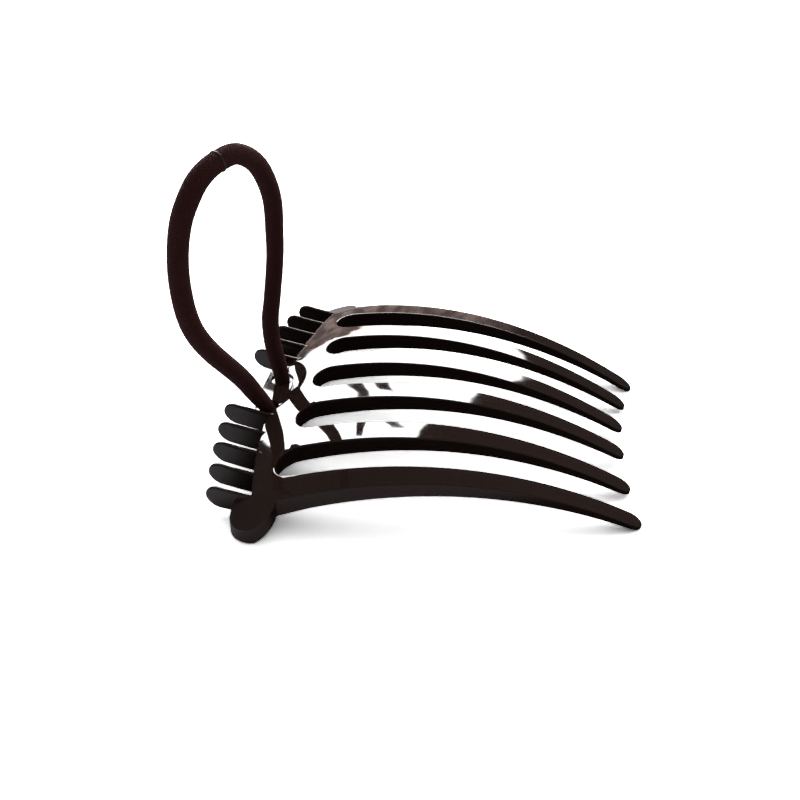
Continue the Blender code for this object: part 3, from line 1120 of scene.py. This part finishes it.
@dataclass
class Studio:
    """The camera, the pale floor and the soft light."""

    camera_place: tuple = (0.014278, -0.14552, 0.112353)
    right: tuple = (0.98641, 0.16274, 0.02258)
    up: tuple = (-0.11354, 0.57574, 0.80971)
    forward: tuple = (-0.11878, 0.80123, -0.58644)
    lens: float = 39.69
    sensor: float = 36.0
    seen_depths: Pair = (0.005, 20.0)
    floor_size: float = 6.0
    floor_below: float = 0.0001
    floor_roughness: float = 0.9
    floor_exposure: float = 3.2
    # How light the floor looks in reflections: lighter and bluish at the fins as painted light for their
    # faces to mirror, duller further right, and dark under the comb as painted shade
    floor_painted_light_at_fins: Colour = (0.92, 0.92, 1.0, 1.0)
    floor_further: Colour = (0.55, 0.48, 0.48, 1.0)
    floor_painted_shade_under_comb: Colour = (0.06, 0.06, 0.06, 1.0)
    # Over which x the first gives way to the second
    fins_end: Pair = (-0.042, -0.030)
    # Where the comb covers the floor and the painted shade lies: its near side, its back edge, the far fins
    # and the far side
    near_side: Pair = (-0.039, -0.033)
    back_edge: Pair = (-0.040, -0.032)
    far_fins: Pair = (0.004, 0.009)
    far_side: Pair = (0.044, 0.036)
    backdrop: float = 1.0
    # Soft light on matt surfaces: its brightness in front and behind, and between which depths it grows
    dome_brightness: Pair = (0.22, 1.75)
    dome_depth: Pair = (-0.3, 0.7)
    # What glossy surfaces mirror: a dim room, in front and behind, and between which depths it changes
    room_brightness: Pair = (0.13, 0.06)
    room_depth: Pair = (-0.3, 0.5)
    # The sill's tones, its top at the middle, how it climbs to the right and where it fades away
    sill_dark: Colour = (7.0, 5.2, 4.7, 1.0)
    sill_light: Colour = (20.0, 15.4, 14.0, 1.0)
    sill_height: float = 0.40
    sill_softness: float = 0.02
    sill_slope: float = 0.32
    sill_fade: Pair = (0.05, 0.20)
    # How fine the clutter on the sill is and how many layers it has, and where its tones change
    clutter: Pair = (24.0, 6.0)
    clutter_places: Pair = (0.42, 0.62)
    daylight: Colour = (1.0, 1.0, 1.0, 1.0)
    window_brightness: Pair = (9.0, 24.0)
    window_rise: Pair = (0.2, 0.9)
    window_softness: float = 0.02
    # The window is only behind the comb, so it fades in over these depths
    window_depth: Pair = (0.1, 0.2)
    least_depth: float = 0.01
    # The window's corners on a plane one metre behind the comb, across and up, clockwise
    window: Corners = (
        (-1.02, 0.25), (-1.02, 0.78), (-0.88, 1.0), (-0.5, 1.06), (-0.17, 1.06), (0.16, 0.74), (0.36, 0.53),
        (0.38, 0.507), (-0.58, 0.20), (-0.90, 0.19),
    )
    # What stands before the window, each with its corners clockwise
    obstacles: tuple[Corners, ...] = (
        ((-0.474, 0.696), (-0.443, 0.713), (-0.484, 0.630), (-0.536, 0.599)),
        ((-0.372, 0.717), (-0.325, 0.740), (-0.349, 0.699), (-0.401, 0.677)),
        ((-0.533, 0.974), (-0.508, 0.983), (-0.467, 0.929), (-0.508, 0.913)),
        ((-0.303, 0.992), (-0.252, 0.995), (-0.307, 0.965), (-0.338, 0.961)),
    )
    obstacle_softness: float = 0.005
    obstacle_spread: float = 0.011

    def set_camera(self) -> None:
        """The camera at the photograph's angle."""
        data = bpy.data.cameras.new("camera")
        data.lens = self.lens
        data.sensor_width = self.sensor
        data.clip_start, data.clip_end = self.seen_depths
        camera = bpy.data.objects.new("camera", data)
        columns = (Vector(self.right), Vector(self.up), -Vector(self.forward), Vector(self.camera_place))
        rows = [[column[row] for column in columns] for row in range(3)]
        camera.matrix_world = Matrix([*rows, [0, 0, 0, 1]])
        bpy.context.scene.collection.objects.link(camera)
        bpy.context.scene.camera = camera

    def floor_tone_with_painted_shade(self, wiring: Wiring) -> Socket:
        """The floor's colour in reflections, by its place: painted light by the fins and painted shade where
        the comb covers it.

        Args:
            wiring: the floor's nodes.

        Returns:
            The colour.
        """
        where = wiring.split(wiring.on_piece())
        right = wiring.rise(where["X"], *self.fins_end)
        # Painted light: the floor is lighter and bluish by the fins' free ends, for the fins to mirror
        tone = wiring.mix(Mixed.COLOURS, right, self.floor_painted_light_at_fins, self.floor_further)
        behind = wiring.rise(where["Y"], *self.near_side)
        under = wiring.math("MULTIPLY", behind, wiring.rise(where["X"], *self.back_edge))
        covered = wiring.math("MAXIMUM", under, wiring.rise(where["Y"], *self.far_fins))
        shaded = wiring.math("MULTIPLY", covered, wiring.rise(where["Y"], *self.far_side))
        # Painted shade: the floor is darkened where the comb covers it
        return wiring.mix(Mixed.COLOURS, shaded, tone, self.floor_painted_shade_under_comb, blend="MULTIPLY")

    def floor(self) -> None:
        """A wide pale floor under the comb, exposed so that it is white wherever light reaches it."""
        deselect_all()
        bpy.ops.mesh.primitive_plane_add(size=self.floor_size, location=(0.0, 0.0, -self.floor_below))
        floor = bpy.context.object
        floor.name = "floor"
        material, wiring, shader = new_material("pale_floor")
        # The floor that the comb mirrors carries painted light and painted shade by place
        wiring.feed(shader.inputs["Base Color"], self.floor_tone_with_painted_shade(wiring))
        shader.inputs["Roughness"].default_value = self.floor_roughness
        shader.inputs["Specular IOR Level"].default_value = 0.0
        seen = wiring.nodes.new("ShaderNodeBsdfDiffuse")
        seen.inputs["Color"].default_value = (*[self.floor_exposure] * 3, 1.0)
        path = wiring.nodes.new("ShaderNodeLightPath")
        choice = wiring.nodes.new("ShaderNodeMixShader")
        wiring.feed(choice.inputs["Fac"], path.outputs["Is Camera Ray"])
        wiring.feed(choice.inputs[1], shader.outputs["BSDF"])
        wiring.feed(choice.inputs[2], seen.outputs["BSDF"])
        wiring.feed(wiring.nodes["Material Output"].inputs["Surface"], choice.outputs["Shader"])
        floor.data.materials.append(material)

    def window_light(self, plane: WindowPlane, depth: Socket) -> Socket:
        """The window's brightness, less what stands before it.

        Args:
            plane: the direction on the window's plane.
            depth: how far the direction goes backwards.

        Returns:
            The brightness.
        """
        wiring = plane.wiring
        opening = plane.shape(self.window, 0.0, self.window_softness)
        for corners in self.obstacles:
            covered = plane.shape(corners, self.obstacle_spread, self.obstacle_softness)
            opening = wiring.math("MULTIPLY", opening, wiring.math("SUBTRACT", 1.0, covered))
        opening = wiring.math("MULTIPLY", opening, wiring.rise(depth, *self.window_depth))
        pane = wiring.remap(plane.up, self.window_rise, self.window_brightness)
        return wiring.math("MULTIPLY", opening, pane)

    def above_sill(self, plane: WindowPlane) -> Socket:
        """Where no sill is: over its slanting top and beyond its right end.

        Args:
            plane: the direction on the window's plane.

        Returns:
            The share without sill, from 0 to 1.
        """
        wiring = plane.wiring
        climb = wiring.math("MULTIPLY", plane.across, -self.sill_slope)
        height = wiring.math("ADD", plane.up, climb)
        above = wiring.rise(height, self.sill_height - self.sill_softness, self.sill_height)
        return wiring.math("MAXIMUM", above, wiring.rise(plane.across, *self.sill_fade))

    def light(self) -> None:
        """Soft light for matt surfaces, and a dim room with a large window for glossy ones to mirror."""
        world = bpy.data.worlds.new("room")
        world.use_nodes = True
        wiring = Wiring(world.node_tree)
        direction = wiring.nodes.new("ShaderNodeTexCoord").outputs["Generated"]
        where = wiring.split(direction)
        depth = wiring.math("MAXIMUM", where["Y"], self.least_depth)
        across = wiring.math("DIVIDE", where["X"], depth)
        plane = WindowPlane(wiring, across, wiring.math("DIVIDE", where["Z"], depth))
        path = wiring.nodes.new("ShaderNodeLightPath")
        matt, seen = path.outputs["Is Diffuse Ray"], path.outputs["Is Camera Ray"]
        room = wiring.remap(where["Y"], self.room_depth, self.room_brightness, smooth=True)
        glossy = wiring.math("ADD", self.window_light(plane, where["Y"]), room)
        dome = wiring.remap(where["Y"], self.dome_depth, self.dome_brightness, smooth=True)
        strength = wiring.mix(Mixed.NUMBERS, matt, glossy, dome)
        strength = wiring.mix(Mixed.NUMBERS, seen, strength, self.backdrop)
        clutter = wiring.noise(direction, *self.clutter)
        sill = wiring.ramp(clutter, self.clutter_places, (self.sill_dark, self.sill_light))
        plain = wiring.math("MAXIMUM", self.above_sill(plane), wiring.math("MAXIMUM", matt, seen))
        colour = wiring.mix(Mixed.COLOURS, plain, sill, self.daylight)
        wiring.feed(wiring.nodes["Background"].inputs["Color"], colour)
        wiring.feed(wiring.nodes["Background"].inputs["Strength"], strength)
        world.cycles.sampling_method = "NONE"
        bpy.context.scene.world = world
        bpy.context.scene.view_settings.view_transform = "Standard"


def main() -> None:
    """Build the studio, the elastic and the comb in order."""
    logging.basicConfig(level=logging.INFO, format="%(name)s: %(message)s", stream=sys.stdout)
    studio = Studio()
    studio.set_camera()
    elastic = ElasticLoop()
    loop, length = elastic.build()
    collar = elastic.build_joint()
    route = elastic.route(elastic.ring_step)
    CombMoulding().build()
    studio.floor()
    studio.light()


if __name__ == "__main__":
    main()
